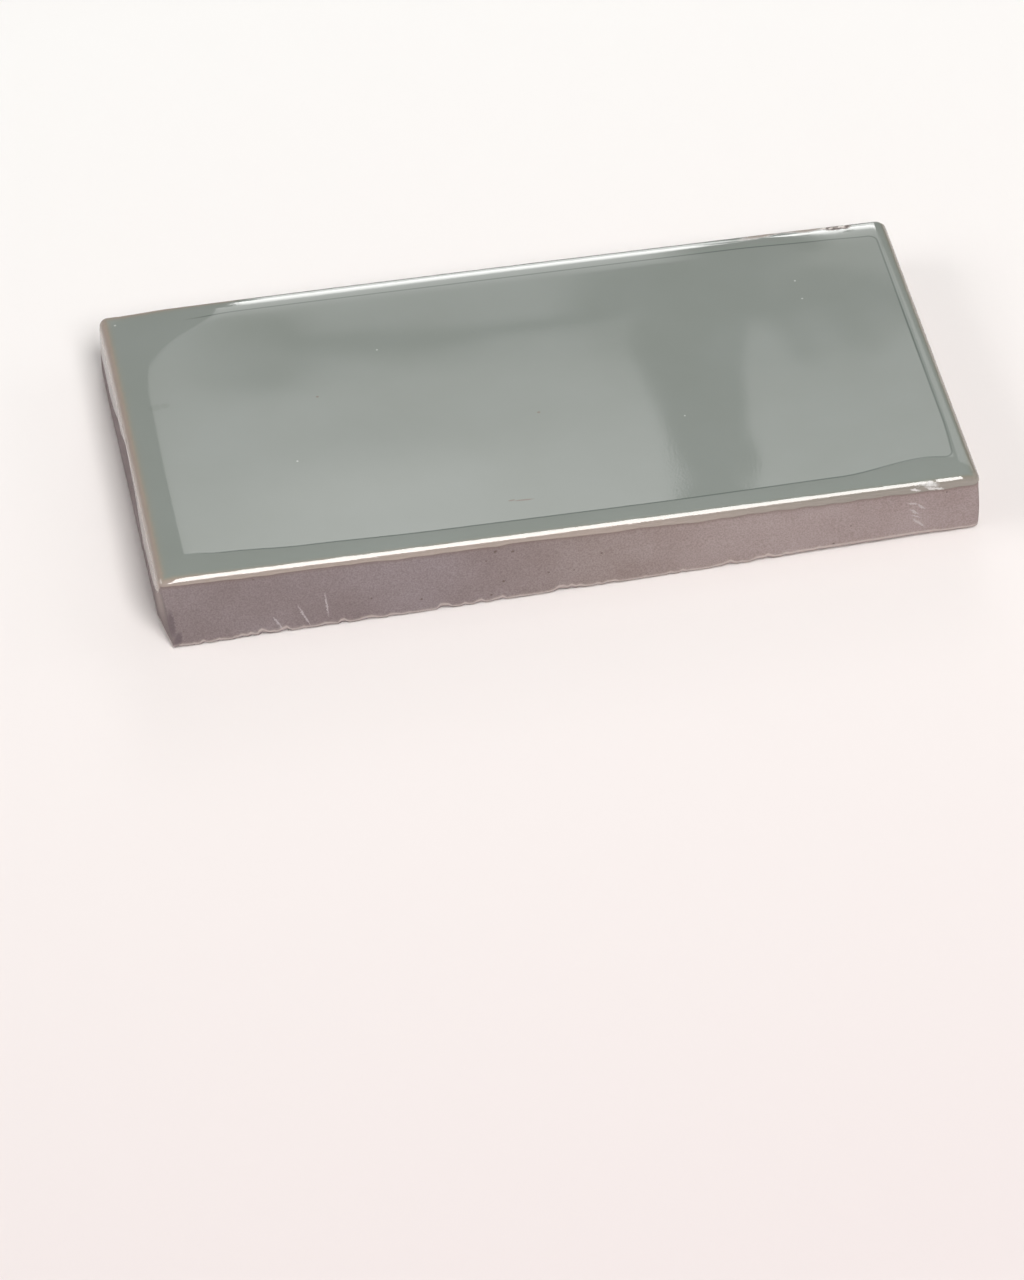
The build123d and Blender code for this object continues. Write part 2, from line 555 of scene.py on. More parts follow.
def clay_wall_row(point, step):
    """Down the clay wall, giving as thin glaze the seam under the lip, partly painted shadow."""
    first = point.lip + LIP_FALL
    below_lip = (point.height - point.low_radius - first) * step
    relief = clay_relief(*point.on_wall(first + below_lip, GLAZE_THICKNESS))
    inset = GLAZE_THICKNESS + relief * min(step / RELIEF_START, 1)
    seam = exp(-((below_lip / SEAM_AND_SHADOW_WIDTH) ** 2))
    wear_and_highlight = max(step - RIM_START, 0) / (1 - RIM_START)
    return point.on_wall(first + below_lip, inset), seam, wear_and_highlight


def under_inset(point):
    """How far the clay's relief sets the lower arris in."""
    base = outline(point.side, point.along, 0.0)
    return GLAZE_THICKNESS + clay_relief(base.x, base.y, point.low_radius)


def lower_arris_row(point, step):
    """Round the lower arris, which is wider where it is chipped or rubbed."""
    angle = pi / 2 * step
    raised = point.low_radius * (1 - sin(angle))
    inset = under_inset(point) + point.low_radius * (1 - cos(angle))
    plan = outline(point.side, point.along, raised / point.height, inset)
    return Vector((plan.x, plan.y, raised)), 0.0, max(1 - step / RIM_END, 0)


def bed_row(point, step):
    """In under the tile, over the bed."""
    inset = under_inset(point) + (point.low_radius + BED_BORDER) * step
    return outline(point.side, point.along, 0.0, inset).to_3d(), 0.0, 0.0


print("wall ends inside the bed's outline, mm:", round(under_inset(sample), 2))

# %% Extrude the rows
GLAZE_SLOT, CLAY_SLOT = range(2)
ARRIS_STEPS = 9
WALL_STEPS = 13
LOWER_STEPS = 5
# A rule, its steps from 0 to 1 and the finish of the faces that each step adds
ROW_RULES = (
    (arris_row, [count / ARRIS_STEPS for count in range(1, ARRIS_STEPS + 1)], GLAZE_SLOT),
    (glazed_wall_row, [0.35, 0.7, 0.9], GLAZE_SLOT),
    (lip_row, [0.0, 0.4, 1.0], GLAZE_SLOT),
    (clay_wall_row, [0.012, 0.03, 0.055], CLAY_SLOT),
    (clay_wall_row, [count / WALL_STEPS for count in range(1, WALL_STEPS)], CLAY_SLOT),
    (clay_wall_row, [0.95, 0.975, 1.0], CLAY_SLOT),
    (lower_arris_row, [count / LOWER_STEPS for count in range(1, LOWER_STEPS + 1)], CLAY_SLOT),
    (bed_row, [1.0], CLAY_SLOT),
)
# The walls lie nowhere near the line of pooled glaze
NO_POOL_LINE = -5.0

points = {}
ring = [edge for edge in tile.edges if edge.is_boundary]
for rule, steps, slot in ROW_RULES:
    for step in steps:
        grown = bmesh.ops.extrude_edge_only(tile, edges=ring)["geom"]
        ring = [item for item in grown if isinstance(item, bmesh.types.BMEdge) and item.is_boundary]
        for item in grown:
            if isinstance(item, bmesh.types.BMFace):
                item.material_index = slot
            elif isinstance(item, bmesh.types.BMVert):
                key = (item[side_of], item[along_of])
                if key not in points:
                    points[key] = BorderPoint(*key)
                item.co, item[thin_of], item[wear_and_highlight_of] = rule(points[key], step)
                item[line_of] = NO_POOL_LINE

for face in bmesh.ops.contextual_create(tile, geom=ring)["faces"]:
    face.material_index = CLAY_SLOT
for face in tile.faces:
    face.smooth = True
bmesh.ops.recalc_face_normals(tile, faces=tile.faces[:])
bmesh.ops.scale(tile, vec=(MM, MM, MM), verts=tile.verts[:])
print("tile:", len(tile.faces), "faces, open edges:", sum(edge.is_boundary for edge in tile.edges))

# %% Make the object
glazed_tile = bpy.data.objects.new("glazed_brick_tile", bpy.data.meshes.new("glazed_brick_tile"))
tile.to_mesh(glazed_tile.data)
tile.free()
bpy.context.scene.collection.objects.link(glazed_tile)
print("numbers on its points:", [attribute.name for attribute in glazed_tile.data.attributes])

# %% [markdown]
# ## Helpers for the finishes
#
# Colours are picked as sRGB hex values, as a paint chart gives them, and Blender's sockets take
# linear light, so one function turns one into the other. One more adds a node, with its options,
# with values or links for its sockets, and with the stops of a colour ramp.
#
# A finish is then built as a potter or a restorer would describe it: a ground, and coats laid over
# it one after another, each with a mask that says where it covers. Single marks, such as a pinhole
# or a scuff, are soft spots with a place, a reach in each direction and a turn.

# %% Colour and node helpers
def linear(code):
    """sRGB hex to linear red, green, blue and alpha."""
    parts = [int(code[i : i + 2], 16) / 255 for i in (1, 3, 5)]
    return [c / 12.92 if c <= 0.04045 else ((c + 0.055) / 1.055) ** 2.4 for c in parts] + [1.0]


def node(tree, kind, sockets=None, stops=(), **options):
    """Add a node with its options, its sockets' values or links, and its ramp's stops."""
    made = tree.nodes.new(kind)
    for name, value in options.items():
        setattr(made, name, value)
    for name, value in (sockets or {}).items():
        if isinstance(value, bpy.types.NodeSocket):
            tree.links.new(value, made.inputs[name])
        else:
            made.inputs[name].default_value = value
    for count, (place, shade) in enumerate(stops):
        elements = made.color_ramp.elements
        element = elements[count] if count < len(elements) else elements.new(1.0)
        element.position = place
        element.color = linear(shade) if isinstance(shade, str) else (shade, shade, shade, 1.0)
    return made


print("mid grey is", round(linear("#808080")[0], 3), "in linear light")

# %% Coats and marks
# A mark that is seen from one side only reaches this far through the tile, in millimetres
THROUGH = 20
# A mark is full within this share of its reach, and gone at its reach
FULL_WITHIN = 0.5
# A Mix node's names repeat for each type, so its colours are picked by number
UNDER, OVER, RESULT = 6, 7, 2
# A stain lets the colour under it through and darkens it, as coloured glass does
STAIN = {"data_type": "RGBA", "blend_type": "MULTIPLY"}
NOISE_MIDDLE = (0.5, 0.5, 0.5)


def painted(tree, ground, coats):
    """Coats over a ground, one after another, each a mask and what it brings."""
    for mask, coat in coats:
        coat = linear(coat) if isinstance(coat, str) else coat
        sockets = {"Factor": mask, UNDER: ground, OVER: coat}
        ground = node(tree, "ShaderNodeMix", sockets, data_type="RGBA").outputs[RESULT]
    return ground


def marks(tree, place, spots, strength=1.0):
    """A mask that is as strong as said on soft-edged spots: middle, reaches and turns of each."""
    mask = 0.0
    for middle, reaches, turns in spots:
        sockets = {
            "Vector": place,
            "Location": [value * MM for value in middle],
            "Scale": [value * MM for value in reaches],
            "Rotation": [radians(value) for value in turns],
        }
        local = node(tree, "ShaderNodeMapping", sockets, vector_type="TEXTURE").outputs["Vector"]
        away = node(tree, "ShaderNodeVectorMath", {0: local}, operation="LENGTH").outputs["Value"]
        sockets = {"Value": away, "From Min": 1.0, "From Max": FULL_WITHIN, "To Max": strength}
        spot = node(tree, "ShaderNodeMapRange", sockets).outputs["Result"]
        mask = node(tree, "ShaderNodeMath", {0: mask, 1: spot}, operation="MAXIMUM").outputs["Value"]
    return mask


def ragged(tree, place, noise_colour, reach_mm):
    """A place shaken by a noise, which gives the marks read there ragged edges."""
    even = {0: noise_colour, 1: NOISE_MIDDLE}
    even = node(tree, "ShaderNodeVectorMath", even, operation="SUBTRACT").outputs["Vector"]
    moved = {0: even, 1: (reach_mm * MM,) * 3, 2: place}
    return node(tree, "ShaderNodeVectorMath", moved, operation="MULTIPLY_ADD").outputs["Vector"]


def empty_material(name):
    """A material with no nodes yet, and its node tree."""
    material = bpy.data.materials.new(name)
    material.use_nodes = True
    material.node_tree.nodes.clear()
    return material, material.node_tree


print("a mark is soft over this share of its reach:", 1 - FULL_WITHIN)

# %% [markdown]
# ## Glazed earthenware
#
# A lead-free earthenware glaze is a glass about a tenth of a millimetre thick over a rose-brown
# body. Where it lies thick, in the field, its own sage green shows. Where it runs thin, over the
# arris, the body shows through and turns it tan, which potters call breaking. The tan is a little
# darker and greener towards the right end. The eye reads glaze by the sharp mirror of the lights,
# so its roughness is low, and dull only where it is chipped, worn or scuffed.
#
# A fine dark line follows the foot of the band, where glaze pooled, and fades out towards the left
# end. Its darkness is a painted reflection: it stands in for the dark break that the pooled ridge
# makes in what the glaze mirrors. Orange peel, a ripple of about a thousandth of a millimetre,
# breaks up the edges of what the glaze mirrors.

# %% Marks in the glaze
# Each mark is its middle, its reaches and its turns, in millimetres and degrees
PINHOLES = (
    ((-72.5, 35.0, 13), (0.28, 0.28, THROUGH), (0, 0, 0)),
    ((-45.5, -10.0, 14), (0.24, 0.24, THROUGH), (0, 0, 0)),
    ((-26.0, 18.0, 14), (0.24, 0.24, THROUGH), (0, 0, 0)),
    ((54.3, 22.8, 13), (0.24, 0.28, THROUGH), (0, 0, 0)),
    ((54.5, 17.5, 13), (0.24, 0.24, THROUGH), (0, 0, 0)),
    ((26.0, -11.0, 14), (0.2, 0.24, THROUGH), (0, 0, 0)),
)
# A brown streak at the front, and two specks
SPECKS = (
    ((-7.2, -28.1, 14), (2.2, 0.28, THROUGH), (0, 0, -2)),
    ((-9.4, -27.8, 14), (0.8, 0.25, THROUGH), (0, 0, 6)),
    ((-39.0, 7.0, 14), (0.35, 0.3, THROUGH), (0, 0, 0)),
    ((0.0, -5.0, 14), (0.4, 0.3, THROUGH), (0, 0, 0)),
)
# Glaze that ran down the left end, painted a darker lavender grey: a painted reflection, the tone it shows
# as it mirrors the floor and backdrop
LEFT_RUNS_PAINTED_REFLECTION = (((-77.0, 4.0, 7.0), (2.3, 60, 14), (0, 0, 0)),)
# A faint dent at the left edge of the field, drawn only as a painted reflection: a darker notch in the
# light the field mirrors
REFLECTION_NOTCHES = (
    ((-68.6, 9.6, 14), (1.5, 1.1, THROUGH), (0, 0, 8)),
    ((-66.9, 9.8, 14), (1.2, 0.9, THROUGH), (0, 0, 0)),
)
REFLECTION_NOTCH_STRENGTH = 0.22
# Chips in the back arris near its right end, and the worn stretch beside them
CHIPS = (
    ((64.9, 37.1, 12), (2.9, 1.1, THROUGH), (0, 0, -4)),
    ((66.9, 36.9, 12), (1.9, 0.9, THROUGH), (0, 0, 4)),
)
WORN_ARRISES = (
    ((59.2, 37.8, 12), (5.2, 1.3, THROUGH), (0, 0, -4)),
    ((51.5, 37.6, 12), (5.5, 1.2, THROUGH), (0, 0, 9)),
)
# Chalky scuffs on the front arris near its right end
SCUFFS = (
    ((65.4, -37.7, 12.7), (2.9, 1.6, 0.75), (0, 12, 0)),
    ((66.6, -37.7, 11.6), (2.4, 1.4, 0.45), (0, 16, 0)),
    ((64.2, -37.7, 13.1), (1.7, 1.4, 0.65), (0, -25, 0)),
    ((63.0, -37.7, 11.9), (1.3, 1.4, 0.4), (0, 20, 0)),
)
MARK_RAGGEDNESS_MM = 1.2
print("pinholes:", len(PINHOLES), "chips:", len(CHIPS), "scuffs:", len(SCUFFS))

# %% Noises of the glaze
# Cloudy patches where it was poured, speckle, and orange peel
CLOUD_MM = 22.0
SPECKLE_MM = 0.8
PEEL_MM = 0.45

glaze, tree = empty_material("glazed earthenware")
place = node(tree, "ShaderNodeTexCoord").outputs["Object"]
along = node(tree, "ShaderNodeSeparateXYZ", {"Vector": place}).outputs["X"]
thin = node(tree, "ShaderNodeAttribute", attribute_name="glaze_thinness").outputs["Fac"]
past_line = node(tree, "ShaderNodeAttribute", attribute_name="past_pool_line").outputs["Fac"]
clouds = node(tree, "ShaderNodeTexNoise", {"Vector": place, "Scale": 1 / (CLOUD_MM * MM), "Detail": 3.0})
speckle = node(tree, "ShaderNodeTexNoise", {"Vector": place, "Scale": 1 / (SPECKLE_MM * MM), "Detail": 2.0})
peel = node(tree, "ShaderNodeTexNoise", {"Vector": place, "Scale": 1 / (PEEL_MM * MM), "Detail": 1.0})
print("glaze noises, mm:", CLOUD_MM, SPECKLE_MM, PEEL_MM)

# %% Sage in the field, breaking to tan
SAGE = [(0.3, "#848a84"), (0.7, "#888e89")]
# Speckle moves the border between thick and thin by this much either way
BREAKING_WOBBLE = 0.1
# How far it has broken, from thick to thin, and the colour that the thin glaze then has
BREAKING = [(0.02, 0.0), (0.15, 0.12), (0.4, 0.53), (0.7, 1.0)]
THIN_TAN = [(0.2, "#8d8c7f"), (0.6, "#978d7f"), (0.9, "#9f9287"), (1.0, "#a3968d")]
# What stains the tan, from the left end to the right
TAN_TONING = [(0.0, "#fdfdff"), (0.55, "#fdfdff"), (0.85, "#e1e9ea"), (1.0, "#e1e9ea")]
RIGHT_END = FACE_LENGTH / 2 * MM

sage = node(tree, "ShaderNodeValToRGB", {"Fac": clouds.outputs["Fac"]}, SAGE).outputs["Color"]
wobble = {0: speckle.outputs["Fac"], 1: 2 * BREAKING_WOBBLE, 2: -BREAKING_WOBBLE}
wobble = node(tree, "ShaderNodeMath", wobble, operation="MULTIPLY_ADD").outputs["Value"]
broken = node(tree, "ShaderNodeMath", {0: thin, 1: wobble}, operation="ADD").outputs["Value"]
breaking = node(tree, "ShaderNodeValToRGB", {"Fac": broken}, BREAKING).outputs["Color"]
tan = node(tree, "ShaderNodeValToRGB", {"Fac": broken}, THIN_TAN).outputs["Color"]
drift = {"Value": along, "From Min": -RIGHT_END, "From Max": RIGHT_END}
drift = node(tree, "ShaderNodeMapRange", drift).outputs["Result"]
toning = node(tree, "ShaderNodeValToRGB", {"Fac": drift}, TAN_TONING).outputs["Color"]
tan = node(tree, "ShaderNodeMix", {"Factor": 1.0, UNDER: tan, OVER: toning}, **STAIN).outputs[RESULT]
print("half broken at a thinness of about", BREAKING[2][0])

# %% The line of pooled glaze, darkened as a painted reflection
# Its mask, over half a millimetre either side of its middle
POOL_SPAN = 0.5
POOL_MASK = [(0.26, 0.0), (0.42, 0.95), (0.58, 0.95), (0.74, 0.0)]
# It fades out over this stretch along the tile, which lies further left at the front
POOL_FADE_MM = (-64, -59)
POOL_FADE_SLANT = -0.12

nearness = {"Value": past_line, "From Min": -POOL_SPAN, "From Max": POOL_SPAN}
nearness = node(tree, "ShaderNodeMapRange", nearness).outputs["Result"]
line = node(tree, "ShaderNodeValToRGB", {"Fac": nearness}, POOL_MASK).outputs["Color"]
slant = {0: place, 1: (1.0, POOL_FADE_SLANT, 0.0)}
slant = node(tree, "ShaderNodeVectorMath", slant, operation="DOT_PRODUCT").outputs["Value"]
fade = {"Value": slant, "From Min": POOL_FADE_MM[0] * MM, "From Max": POOL_FADE_MM[1] * MM}
fade = node(tree, "ShaderNodeMapRange", fade).outputs["Result"]
line = node(tree, "ShaderNodeMath", {0: line, 1: fade}, operation="MULTIPLY").outputs["Value"]
print("line of pooled glaze, mm wide:", round((POOL_MASK[-1][0] - POOL_MASK[0][0]) * 2 * POOL_SPAN, 2))

# %% Coats and gloss of the glaze
# Broken edges show dark body, bare body and pale flakes of glaze
FLAKES = [(0.35, "#574b46"), (0.5, "#83776f"), (0.6, "#d9d0ca")]
GLOSSY, DULL = 0.03, 0.5
# Glass for glaze bends light a little more than window glass
GLAZE_IOR = 1.6
PEEL_HEIGHT_MM = 0.0014

shaken = ragged(tree, place, speckle.outputs["Color"], MARK_RAGGEDNESS_MM)
worn = marks(tree, shaken, WORN_ARRISES)
chipped = marks(tree, shaken, CHIPS)
scuffed = marks(tree, shaken, SCUFFS)
flakes = node(tree, "ShaderNodeValToRGB", {"Fac": speckle.outputs["Fac"]}, FLAKES).outputs["Color"]
colour = painted(tree, sage, [
    (breaking, tan),
    # Left-end runs painted lavender grey as a painted reflection
    (marks(tree, place, LEFT_RUNS_PAINTED_REFLECTION), "#86838a"),
    # The pooled line's dark colour is a painted reflection of the break in what the glaze mirrors
    (line, "#666e68"),
    (worn, "#978c83"),
    (chipped, flakes),
    # Darker notch: a painted reflection where the mirrored light pinches in
    (marks(tree, place, REFLECTION_NOTCHES, REFLECTION_NOTCH_STRENGTH), "#6f756f"),
    (marks(tree, place, SPECKS), "#7d766d"),
    (marks(tree, place, PINHOLES), "#b6bbb5"),
    (scuffed, "#d2d0cf"),
])

dull = node(tree, "ShaderNodeMath", {0: chipped, 1: scuffed}, operation="MAXIMUM").outputs["Value"]
dull = node(tree, "ShaderNodeMath", {0: dull, 1: worn}, operation="MAXIMUM").outputs["Value"]
gloss = {"Value": dull, "To Min": GLOSSY, "To Max": DULL}
gloss = node(tree, "ShaderNodeMapRange", gloss).outputs["Result"]
bump = {"Height": peel.outputs["Fac"], "Distance": PEEL_HEIGHT_MM * MM, "Strength": 1.0}
bump = node(tree, "ShaderNodeBump", bump).outputs["Normal"]
shader = {"Base Color": colour, "Roughness": gloss, "IOR": GLAZE_IOR, "Normal": bump}
shader = node(tree, "ShaderNodeBsdfPrincipled", shader).outputs["BSDF"]
node(tree, "ShaderNodeOutputMaterial", {"Surface": shader})
print("glaze:", len(tree.nodes), "nodes")

# %% [markdown]
# ## Fired clay bisque
#
# The walls and the bed are the bare body: earthenware fired to a rose-brown, matt and slightly
# open. The tone drifts from mauve at the left end to a warmer, paler rose at the right, partly the
# clay's own tone and partly painted light, as if more light fell from the right. Fine grain and
# patches break the light up, and a bump lets the grain catch it. A dark seam under the lip is partly
# painted shadow of the glaze's step, and a pale rim along the lower arris is partly wear and partly
# a painted highlight where the broken edge catches light.
#
# Single pores, drag marks from the mould, short chalky scuffs at the right end, and the rubbed
# pressed foot with darker patches by its crease are marks with a place.

# %% Marks in the clay
PORES = (
    ((-12.9, -38, 4.7), (0.45, THROUGH, 0.35), (0, 0, 0)),
    ((-11.1, -38, 11.1), (0.35, THROUGH, 0.35), (0, 0, 0)),
    ((-14.3, -38, 11.6), (0.3, THROUGH, 0.35), (0, 0, 0)),
    ((-4.7, -38, 5.2), (0.3, THROUGH, 0.3), (0, 0, 0)),
    ((-28.0, -38, 3.3), (0.35, THROUGH, 0.3), (0, 0, 0)),
)
# Darker patches at the foot of the front left corner, by its crease
DARK_FOOT_PATCHES = (
    ((-73.2, -38.5, 5.6), (0.75, THROUGH, 3.8), (0, -4, 0)),
    ((-72.3, -38.9, 2.0), (0.9, THROUGH, 2.2), (0, 14, 0)),
)
DARK_FOOT_PATCH_STRENGTH = 0.7
# Three long drag marks near the left end, then the short scuffs near the right
SCRATCHES = (
    ((-54.1, -38, 2.4), (0.2, THROUGH, 2.3), (0, -29, 0)),
    ((-49.4, -38, 3.4), (0.2, THROUGH, 3.6), (0, -22, 0)),
    ((-45.2, -38, 5.0), (0.2, THROUGH, 3.3), (0, -4, 0)),
    ((62.6, -38, 8.6), (1.1, THROUGH, 0.24), (0, 14, 0)),
    ((64.3, -38, 7.6), (1.2, THROUGH, 0.26), (0, 42, 0)),
    ((63.0, -38, 6.6), (1.3, THROUGH, 0.26), (0, 42, 0)),
    ((63.4, -38, 5.4), (1.0, THROUGH, 0.22), (0, 30, 0)),
    ((63.4, -38, 4.2), (1.2, THROUGH, 0.24), (0, 52, 0)),
    ((64.2, -38, 3.5), (1.4, THROUGH, 0.28), (0, 50, 0)),
)
SCRATCH_STRENGTH = 0.55
# The pressed foot was rubbed paler as it was handled
RUBBED_FOOT = (((-75.3, -36.2, 5.0), (1.3, 5.5, 9.5), (0, 0, 0)),)
CLAY_RAGGEDNESS_MM = 0.8
print("pores:", len(PORES), "bruises:", len(DARK_FOOT_PATCHES), "scratches:", len(SCRATCHES))

# %% Noises of the clay
# Real grain is 0.1 to 0.2 mm. It is drawn coarser, as fine as the picture can show
GRAIN_MM = 0.3
PATCH_MM = 11.0
PORE_SPACING_MM = 4.5
# A fine pore is full dark to the first radius, and gone at the second
PORE_RADII_MM = (0.135, 0.27)

clay, tree = empty_material("fired clay bisque")
place = node(tree, "ShaderNodeTexCoord").outputs["Object"]
along = node(tree, "ShaderNodeSeparateXYZ", {"Vector": place}).outputs["X"]
seam_and_shadow = node(tree, "ShaderNodeAttribute", attribute_name="glaze_thinness").outputs["Fac"]
wear_and_highlight = node(tree, "ShaderNodeAttribute", attribute_name="edge_wear_and_highlight").outputs["Fac"]
grain = node(tree, "ShaderNodeTexNoise", {"Vector": place, "Scale": 1 / (GRAIN_MM * MM), "Detail": 2.0})
patches = node(tree, "ShaderNodeTexNoise", {"Vector": place, "Scale": 1 / (PATCH_MM * MM), "Detail": 4.0})
pores = node(tree, "ShaderNodeTexVoronoi", {"Vector": place, "Scale": 1 / (PORE_SPACING_MM * MM)})
print("clay noises, mm:", GRAIN_MM, PATCH_MM, PORE_SPACING_MM)

# %% Tone of the clay
# From the left end to the right: paler to the right, partly the clay's own tone and partly painted light
# from the right
BODY_TONE_AND_SIDE_LIGHT = [(0.0, "#8e8384"), (0.33, "#928789"), (0.53, "#978a87"), (0.66, "#a59896"), (1.0, "#a69897")]
PATCHES = [(0.3, "#eeeae8"), (0.7, "#ffffff")]
GRAIN = [(0.3, "#e2dedd"), (0.65, "#ffffff")]

drift = {"Value": along, "From Min": -RIGHT_END, "From Max": RIGHT_END}
drift = node(tree, "ShaderNodeMapRange", drift).outputs["Result"]
bisque = node(tree, "ShaderNodeValToRGB", {"Fac": drift}, BODY_TONE_AND_SIDE_LIGHT).outputs["Color"]
for stains, variation in ((PATCHES, patches), (GRAIN, grain)):
    stain = node(tree, "ShaderNodeValToRGB", {"Fac": variation.outputs["Fac"]}, stains).outputs["Color"]
    layers = {"Factor": 1.0, UNDER: bisque, OVER: stain}
    bisque = node(tree, "ShaderNodeMix", layers, **STAIN).outputs[RESULT]
print("body, left to right:", BODY_TONE_AND_SIDE_LIGHT[0][1], BODY_TONE_AND_SIDE_LIGHT[-1][1])

# %% Coats and relief of the clay
SEAM_AND_SHADOW_STRENGTH = 0.6
RIM_WEAR_AND_HIGHLIGHT_STRENGTH = 0.7
# Bare clay scatters nearly all that falls on it
CLAY_ROUGHNESS = 0.85
CLAY_IOR = 1.45
GRAIN_HEIGHT_MM = 0.05
GRAIN_STRENGTH = 0.7

shaken = ragged(tree, place, grain.outputs["Color"], CLAY_RAGGEDNESS_MM)
# The seam under the lip is darkened partly as painted shadow of the glaze's step
seam = node(tree, "ShaderNodeMath", {0: seam_and_shadow, 1: SEAM_AND_SHADOW_STRENGTH}, operation="MULTIPLY").outputs["Value"]
rim_wear_and_highlight = node(tree, "ShaderNodeMath", {0: wear_and_highlight, 1: RIM_WEAR_AND_HIGHLIGHT_STRENGTH}, operation="MULTIPLY").outputs["Value"]
from_pore = {
    "Value": pores.outputs["Distance"],
    "From Min": PORE_RADII_MM[0] / PORE_SPACING_MM,
    "From Max": PORE_RADII_MM[1] / PORE_SPACING_MM,
    "To Min": 1.0,
    "To Max": 0.0,
}
pitted = {0: node(tree, "ShaderNodeMapRange", from_pore).outputs["Result"], 1: marks(tree, shaken, PORES)}
pitted = node(tree, "ShaderNodeMath", pitted, operation="MAXIMUM").outputs["Value"]
colour = painted(tree, bisque, [
    # Dark seam under the lip, partly painted shadow of the glaze's step
    (seam, "#77655d"),
    # Pale rim along the lower arris: partly wear, partly a painted highlight
    (rim_wear_and_highlight, "#cdc0ba"),
    (marks(tree, shaken, RUBBED_FOOT), "#aa9d98"),
    (marks(tree, shaken, DARK_FOOT_PATCHES, DARK_FOOT_PATCH_STRENGTH), "#5f5357"),
    (marks(tree, shaken, SCRATCHES, SCRATCH_STRENGTH), "#c4bcbd"),
    (pitted, "#6a5b57"),
])

relief = {0: grain.outputs["Fac"], 1: pitted}
relief = node(tree, "ShaderNodeMath", relief, operation="SUBTRACT").outputs["Value"]
bump = {"Height": relief, "Distance": GRAIN_HEIGHT_MM * MM, "Strength": GRAIN_STRENGTH}
bump = node(tree, "ShaderNodeBump", bump).outputs["Normal"]
shader = {"Base Color": colour, "Roughness": CLAY_ROUGHNESS, "IOR": CLAY_IOR, "Normal": bump}
shader = node(tree, "ShaderNodeBsdfPrincipled", shader).outputs["BSDF"]
node(tree, "ShaderNodeOutputMaterial", {"Surface": shader})
print("clay:", len(tree.nodes), "nodes")

# %% Put the finishes on
glazed_tile.data.materials.append(glaze)
glazed_tile.data.materials.append(clay)
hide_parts("brick_tile")
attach(glazed_tile, "root")
print("finishes:", [material.name for material in glazed_tile.data.materials])

# %% [markdown]
# ## Floor
#
# A plain pale floor catches the tile's shadow. It is much larger than the camera needs, so that
# its edge never shows, and its colour is painted paler towards the back: painted light, as on studio
# paper that curves up to the light. It lies a hair below the bed, so that the two surfaces don't
# fight for the same place.

# %% Lay the floor
FLOOR_HALF = 3.0
FLOOR_DROP_MM = 0.05
# Where the painted light on the paper starts to turn it paler and where it ends, in metres from front to
# back
FADE_FROM, FADE_TO = -0.2, 0.14
PAPER_WITH_PAINTED_LIGHT = [(0.0, "#e2d9d8"), (0.4, "#eee8e6"), (1.0, "#faf9f7")]

floor_mesh = bmesh.new()
bmesh.ops.create_grid(floor_mesh, x_segments=1, y_segments=1, size=FLOOR_HALF)
bmesh.ops.translate(floor_mesh, vec=(0, 0, -FLOOR_DROP_MM * MM), verts=floor_mesh.verts[:])
floor = bpy.data.objects.new("floor", bpy.data.meshes.new("floor"))
floor_mesh.to_mesh(floor.data)
floor_mesh.free()
bpy.context.scene.collection.objects.link(floor)

paper, tree = empty_material("pale paper")
place = node(tree, "ShaderNodeTexCoord").outputs["Object"]
back = node(tree, "ShaderNodeSeparateXYZ", {"Vector": place}).outputs["Y"]
share = {"Value": back, "From Min": FADE_FROM, "From Max": FADE_TO}
share = node(tree, "ShaderNodeMapRange", share).outputs["Result"]
# The paper's colour is painted paler towards the back: painted light
fade = node(tree, "ShaderNodeValToRGB", {"Fac": share}, PAPER_WITH_PAINTED_LIGHT).outputs["Color"]
shader = {"Base Color": fade, "Roughness": 1.0, "Specular IOR Level": 0.0}
shader = node(tree, "ShaderNodeBsdfPrincipled", shader).outputs["BSDF"]
node(tree, "ShaderNodeOutputMaterial", {"Surface": shader})
floor.data.materials.append(paper)
print("floor, m:", 2 * FLOOR_HALF, "square")

# %% [markdown]
# ## Light
#
# Gloss shows what is around it, so each light hangs where the glaze should mirror it. A long
# overhead panel, leaning to the front, gives the white line along the front arris. Behind the tile
# stand two panels, just where the flat field mirrors them into the camera, and the gap between
# them is the darker band across the field. A small corner panel and two strips under them soften
# their lower edges. Lower still, three wide panels light the roll-off at the back, each with a
# slanting gap that is mirrored as the darker wedge near its right end. One far to the right shows
# in the right-hand band.
#
# Two fill panels light the ends. The left one is dim below and bright above, because the face
# mirrors its lower edge to anyone who looks from the right, low over the tile, and would turn
# white there. The world fills in from all sides.
#
# A panel is placed by the direction it is seen in from the middle of the face, and by its sides in
# millimetres on a plane square to that direction, because that is what a mirrored edge is measured
# in. Its brightness may change from its lower to its upper side, as a softbox's does, and from left
# to right, by a profile.

# %% A panel
FACE_MIDDLE = Vector((0, 0, middle_height * MM))
PANEL_DISTANCE = 1.5
PANEL_TINT = "#fdfcfb"
EVEN = [(0.0, 1.0), (1.0, 1.0)]


